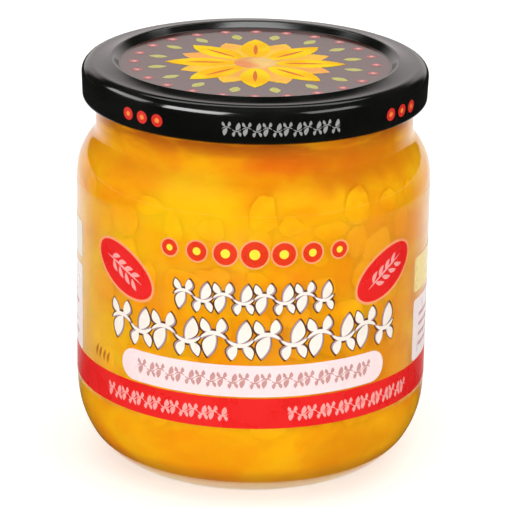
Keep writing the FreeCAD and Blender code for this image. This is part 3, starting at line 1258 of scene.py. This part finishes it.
def studio_world(scene):
    """White where it is seen directly or through glass, and in gloss a white backdrop in a dark room."""
    world = bpy.data.worlds.new("studio")
    world.use_nodes = True
    tree = world.node_tree
    tree.nodes.clear()
    direction = node(tree, "ShaderNodeTexCoord").outputs["Generated"]
    parts = node(tree, "ShaderNodeSeparateXYZ", {0: direction})
    behind = ease(tree, parts.outputs["Y"], -0.15, 0.35)
    low = ease(tree, parts.outputs["Z"], 0.52, 0.38)
    narrow = ease(tree, calc(tree, "ABSOLUTE", parts.outputs["X"]), 0.60, 0.40)
    share = calc(tree, "MULTIPLY", calc(tree, "MULTIPLY", behind, low), narrow)
    room = (DARK_ROOM, DARK_ROOM, DARK_ROOM, 1)
    backdrop = blend(tree, share, room, (0.92, 0.85, 0.84, 1))
    path = node(tree, "ShaderNodeLightPath")
    in_gloss = path.outputs["Is Glossy Ray"]
    seen = any_of(tree, path, "Is Camera Ray", "Is Transmission Ray")
    level = blend(tree, in_gloss, (AMBIENT, AMBIENT, AMBIENT, 1), backdrop)
    level = blend(tree, seen, level, (1, 1, 1, 1))
    background = node(tree, "ShaderNodeBackground", {"Color": level, "Strength": 1.0})
    node(tree, "ShaderNodeOutputWorld", {"Surface": background.outputs[0]})
    scene.world = world


def floor_material():
    """Pale floor that keeps the jar's shadow; white through glass, and clear from below."""
    material, tree = new_material("pale floor")
    speckle = noise(tree, object_place(tree), 14.0, 4.0)
    matt = node(
        tree,
        "ShaderNodeBsdfDiffuse",
        {"Color": blend(tree, speckle, (0.90, 0.90, 0.90, 1), (0.93, 0.93, 0.93, 1))},
    )
    path = node(tree, "ShaderNodeLightPath")
    seen = any_of(tree, path, "Is Camera Ray", "Is Glossy Ray", "Is Transmission Ray")
    glow = node(tree, "ShaderNodeEmission", {"Strength": calc(tree, "MULTIPLY", seen, FLOOR_GLOW)})
    lit = node(tree, "ShaderNodeAddShader", {0: matt.outputs[0], 1: glow.outputs[0]})
    white = node(tree, "ShaderNodeEmission", {"Color": (1, 1, 1, 1), "Strength": 1.0})
    through = path.outputs["Is Transmission Ray"]
    lit = node(tree, "ShaderNodeMixShader", {0: through, 1: lit.outputs[0], 2: white.outputs[0]})
    under = node(tree, "ShaderNodeNewGeometry").outputs["Backfacing"]
    clear = node(tree, "ShaderNodeBsdfTransparent")
    both = node(tree, "ShaderNodeMixShader", {0: under, 1: lit.outputs[0], 2: clear.outputs[0]})
    output(tree, both.outputs[0])
    return material


def card(name, corners, material):
    mesh = bpy.data.meshes.new(name)
    mesh.from_pydata(corners, [], [tuple(range(len(corners)))])
    return show(name, mesh, material)


def round_card(name, near, far, height, half_turn, material, steps=72):
    """A flat ring, or the front part of one, that is seen in gloss alone."""
    turns = [math.radians(half_turn * (2 * i / steps - 1)) for i in range(steps + 1)]
    corners = [(r * math.sin(t), -r * math.cos(t), height) for t in turns for r in (near, far)]
    faces = [(2 * i, 2 * i + 1, 2 * i + 3, 2 * i + 2) for i in range(steps)]
    mesh = bpy.data.meshes.new(name)
    mesh.from_pydata(corners, [], faces)
    ring = show(name, mesh, material)
    ring.visible_camera = False
    ring.visible_diffuse = False
    ring.visible_transmission = False
    ring.visible_shadow = False
    return ring


def dark_card_material(name, behind_level, fade_from=110.0, fade_to=150.0):
    """Dark in front of the jar, and fading to a level of light round the back."""
    material, tree = new_material(name)
    place = object_place(tree)
    flat = node(tree, "ShaderNodeVectorMath", {0: place, 1: (1, 1, 0)}, operation="MULTIPLY").outputs[0]
    away = node(tree, "ShaderNodeVectorMath", {0: flat}, operation="NORMALIZE").outputs[0]
    backwards = node(tree, "ShaderNodeSeparateXYZ", {0: away}).outputs["Y"]
    start, end = (-math.cos(math.radians(angle)) for angle in (fade_from, fade_to))
    speckle = noise(tree, place, 30.0)
    dark = ease(tree, speckle, 0.3, 0.7, 0.018, 0.022)
    level = calc(tree, "ADD", dark, ease(tree, backwards, start, end, 0.0, behind_level))
    glow = node(tree, "ShaderNodeEmission", {"Strength": level})
    output(tree, glow.outputs[0])
    return material


def lamp(name, place, aim, width, height, radiance, in_gloss=True, in_diffuse=True):
    """A soft rectangular lamp of an even radiance, turned to its aim."""
    light = bpy.data.lights.new(name, "AREA")
    light.shape = "RECTANGLE"
    light.size = width
    light.size_y = height
    light.energy = radiance * math.pi * width * height
    stand = bpy.data.objects.new(name, light)
    bpy.context.scene.collection.objects.link(stand)
    stand.location = place
    stand.rotation_mode = "QUATERNION"
    stand.rotation_quaternion = (Vector(aim) - Vector(place)).to_track_quat("-Z", "Y")
    stand.visible_glossy = in_gloss
    stand.visible_diffuse = in_diffuse
    stand.visible_camera = False
    stand.visible_transmission = False
    return stand


scene = bpy.context.scene
scene.view_settings.view_transform = "Standard"
studio_world(scene)

FLOOR_REACH = 6.0
floor = card(
    "floor",
    [(-FLOOR_REACH, -FLOOR_REACH, 0), (FLOOR_REACH, -FLOOR_REACH, 0),
     (FLOOR_REACH, FLOOR_REACH, 0), (-FLOOR_REACH, FLOOR_REACH, 0)],
    floor_material(),
)
dark = dark_card_material("dark card", 0.0)
fading = dark_card_material("fading card", 1.0)
COLLAR_Z = MM * (LID_EDGE_Z - 1.0)
LID_CARD_Z = MM * (LID_HIGH.z + 15)
floor_card = round_card("floor_card", near=0.038, far=3.0, height=MM, half_turn=180, material=fading)
collar_card = round_card("collar_card", near=0.0428, far=0.50, height=COLLAR_Z, half_turn=180, material=dark)
lid_card = round_card("lid_card", near=0.040, far=0.055, height=LID_CARD_Z, half_turn=90, material=dark)

jar_middle = (0, 0, 0.05)
lid_middle = (0, 0, 0.1)
LAMP_DISTANCE = 1.2
FILL = 0.8  # width and height of the key and the fill lamps


def round_the_lid(azimuth, elevation):
    """A lamp's place, by its angle to the right of the front, and above the horizon, from the lid."""
    turn, up = math.radians(azimuth), math.radians(elevation)
    out = LAMP_DISTANCE * math.cos(up)
    return (out * math.sin(turn), -out * math.cos(turn), lid_middle[2] + LAMP_DISTANCE * math.sin(up))


lamp("key lamp", (-0.18, -1.0, 0.40), jar_middle, FILL, FILL, 2.4, in_gloss=False)
lamp("right fill lamp", (0.95, -0.55, 0.50), jar_middle, FILL, FILL, 1.6, in_gloss=False)
lamp("left fill lamp", (-0.95, -0.35, 0.45), jar_middle, FILL, FILL, 0.95, in_gloss=False)
lamp("back fill lamp", (0.25, 1.0, 0.50), jar_middle, FILL, FILL, 1.3, in_gloss=False)
lamp("overhead lamp", (0.0, 0.0, 1.2), jar_middle, 1.2, 0.9, 1.5, in_gloss=False)
lamp("left strip", round_the_lid(-42, 31), lid_middle, 0.85, 0.50, 11.0, in_diffuse=False)
lamp("left edge strip", round_the_lid(-100, 30), lid_middle, 0.75, 0.35, 4.5, in_diffuse=False)
lamp("right strip", round_the_lid(56, 35), lid_middle, 0.70, 0.36, 3.8, in_diffuse=False)
lamp("front ring lamp", round_the_lid(180, 63), lid_middle, 1.8, 0.35, 2.0, in_diffuse=False)
lamp("back slope lamp", round_the_lid(0, 76), lid_middle, 1.6, 0.30, 5.8, in_diffuse=False)

camera_data = bpy.data.cameras.new("camera")
camera_data.lens = 205
camera_data.sensor_width = 36
camera = bpy.data.objects.new("camera", camera_data)
scene.collection.objects.link(camera)
ELEVATION = math.radians(19.2)
DISTANCE = 0.7174
aim = Vector((0.0003, 0, 0.0502))
back = Vector((0, -math.cos(ELEVATION), math.sin(ELEVATION)))
ROLL = math.radians(0.95)
camera.location = aim + back * DISTANCE
camera.rotation_mode = "QUATERNION"
camera.rotation_quaternion = (-back).to_track_quat("-Z", "Y") @ Quaternion((0, 0, 1), ROLL)
scene.camera = camera
